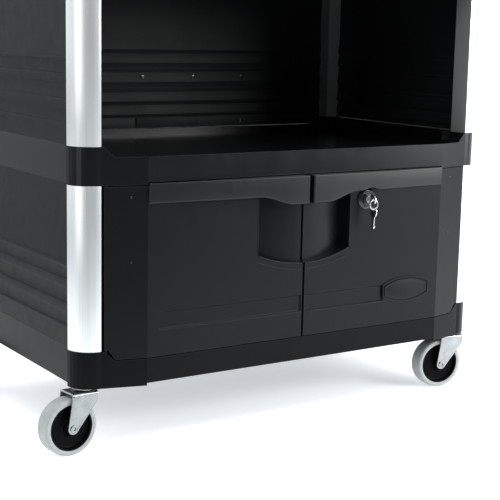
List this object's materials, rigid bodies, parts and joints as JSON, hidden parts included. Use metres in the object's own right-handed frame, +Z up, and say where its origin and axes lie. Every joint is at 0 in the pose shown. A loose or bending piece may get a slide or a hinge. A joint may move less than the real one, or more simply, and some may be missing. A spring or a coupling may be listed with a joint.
{
  "type": "housekeeping cart",
  "caption": "Black plastic cart with aluminium corner posts, ribbed side and back panels, open upper shelf, locking double-door cabinet, push handle and swivel casters.",
  "frame": {"origin": "centre of the bounding box in X and Y, at floor level under the wheels", "axes": "+X towards the push handle end, -Y towards the doors (front), +Z up"},
  "size_m": [1.0094, 0.531, 0.9461],
  "materials": {
    "tray_plastic": "moulded black, faint grain, satin",
    "panel_plastic": "moulded charcoal, ribbed, satin",
    "door_plastic": "moulded charcoal, fine grain, satin",
    "badge_plastic": "moulded dark grey plate, blank",
    "satin_aluminium": "satin anodised extrusion",
    "zinc_plate": "bright zinc plated steel",
    "chrome": "polished chrome plate",
    "black_nickel": "gloss black plated collar",
    "key_metal": "nickel plated brass",
    "tread_rubber": "grey non-marking rubber",
    "hub_plastic": "black moulded hub"
  },
  "bodies": {
    "cart_body": {"bottom_tray": "tray_plastic", "middle_tray": "tray_plastic", "top_tray": "tray_plastic", "lower_front_left_post": "satin_aluminium", "lower_back_left_post": "satin_aluminium", "lower_front_right_post": "satin_aluminium", "lower_back_right_post": "satin_aluminium", "upper_front_left_post": "satin_aluminium", "upper_back_left_post": "satin_aluminium", "upper_front_right_post": "satin_aluminium", "upper_back_right_post": "satin_aluminium", "lower_left_panel": "panel_plastic", "lower_right_panel": "panel_plastic", "lower_back_panel": "panel_plastic", "upper_left_panel": "panel_plastic", "upper_right_panel": "panel_plastic", "upper_back_panel": "panel_plastic", "left_door_lower_pin": "zinc_plate", "left_door_upper_pin": "zinc_plate", "right_door_lower_pin": "zinc_plate", "right_door_upper_pin": "zinc_plate", "front_left_caster_stem": "zinc_plate", "front_right_caster_stem": "zinc_plate", "back_left_caster_stem": "zinc_plate", "back_right_caster_stem": "zinc_plate", "handle_front_arm": "tray_plastic", "handle_back_arm": "tray_plastic", "handle_bar": "tray_plastic"},
    "front_left_caster_fork": {"front_left_caster_fork": "zinc_plate", "front_left_caster_axle_bolt": "zinc_plate"},
    "front_left_caster_wheel": {"front_left_caster_hub": "hub_plastic", "front_left_caster_tread": "tread_rubber"},
    "front_right_caster_fork": {"front_right_caster_fork": "zinc_plate", "front_right_caster_axle_bolt": "zinc_plate"},
    "front_right_caster_wheel": {"front_right_caster_hub": "hub_plastic", "front_right_caster_tread": "tread_rubber"},
    "back_left_caster_fork": {"back_left_caster_fork": "zinc_plate", "back_left_caster_axle_bolt": "zinc_plate"},
    "back_left_caster_wheel": {"back_left_caster_hub": "hub_plastic", "back_left_caster_tread": "tread_rubber"},
    "back_right_caster_fork": {"back_right_caster_fork": "zinc_plate", "back_right_caster_axle_bolt": "zinc_plate"},
    "back_right_caster_wheel": {"back_right_caster_hub": "hub_plastic", "back_right_caster_tread": "tread_rubber"},
    "left_door": {"left_door": "door_plastic"},
    "right_door": {"right_door": "door_plastic", "door_badge": "badge_plastic", "lock_collar": "black_nickel", "lock_housing": "chrome", "lock_nut": "zinc_plate"},
    "lock_plug": {"lock_plug": "chrome", "lock_cam": "zinc_plate", "door_key": "key_metal"},
    "key_bunch": {"key_ring": "chrome", "spare_key": "key_metal"}
  },
  "joints": [
    {"name": "front_left_caster_swivel", "type": "hinge", "parent": "cart_body", "child": "front_left_caster_fork", "pos_m": [-0.42483, -0.18452, 0], "axis": [0, 0, 1], "continuous": true},
    {"name": "front_right_caster_swivel", "type": "hinge", "parent": "cart_body", "child": "front_right_caster_fork", "pos_m": [0.36717, -0.18452, 0], "axis": [0, 0, 1], "continuous": true},
    {"name": "back_left_caster_swivel", "type": "hinge", "parent": "cart_body", "child": "back_left_caster_fork", "pos_m": [-0.42483, 0.23548, 0], "axis": [0, 0, 1], "continuous": true},
    {"name": "back_right_caster_swivel", "type": "hinge", "parent": "cart_body", "child": "back_right_caster_fork", "pos_m": [0.36717, 0.23548, 0], "axis": [0, 0, 1], "continuous": true},
    {"name": "front_left_wheel_spin", "type": "hinge", "parent": "front_left_caster_fork", "child": "front_left_caster_wheel", "pos_m": [-0.45668, -0.18759, 0.0472], "axis": [-0.0958, 0.9954, 0], "continuous": true},
    {"name": "front_right_wheel_spin", "type": "hinge", "parent": "front_right_caster_fork", "child": "front_right_caster_wheel", "pos_m": [0.33566, -0.17897, 0.0472], "axis": [0.1736, 0.9848, 0], "continuous": true},
    {"name": "back_left_wheel_spin", "type": "hinge", "parent": "back_left_caster_fork", "child": "back_left_caster_wheel", "pos_m": [-0.4567, 0.23269, 0.0472], "axis": [-0.0872, 0.9962, 0], "continuous": true},
    {"name": "back_right_wheel_spin", "type": "hinge", "parent": "back_right_caster_fork", "child": "back_right_caster_wheel", "pos_m": [0.33535, 0.23882, 0.0472], "axis": [0.1045, 0.9945, 0], "continuous": true},
    {"name": "left_door_hinge", "type": "hinge", "parent": "cart_body", "child": "left_door", "pos_m": [-0.40003, -0.21362, 0], "axis": [0, 0, -1], "range_deg": [0, 100]},
    {"name": "right_door_hinge", "type": "hinge", "parent": "cart_body", "child": "right_door", "pos_m": [0.34237, -0.21362, 0], "axis": [0, 0, 1], "range_deg": [0, 100]},
    {"name": "lock_turn", "type": "hinge", "parent": "right_door", "child": "lock_plug", "pos_m": [0.10318, -0.21452, 0.3901], "axis": [0, -1, 0], "range_deg": [0, 90]},
    {"name": "key_bunch_swing", "type": "hinge", "parent": "lock_plug", "child": "key_bunch", "pos_m": [0.10318, -0.25602, 0.3901], "axis": [1, 0, 0], "range_deg": [-60, 8]}
  ]
}
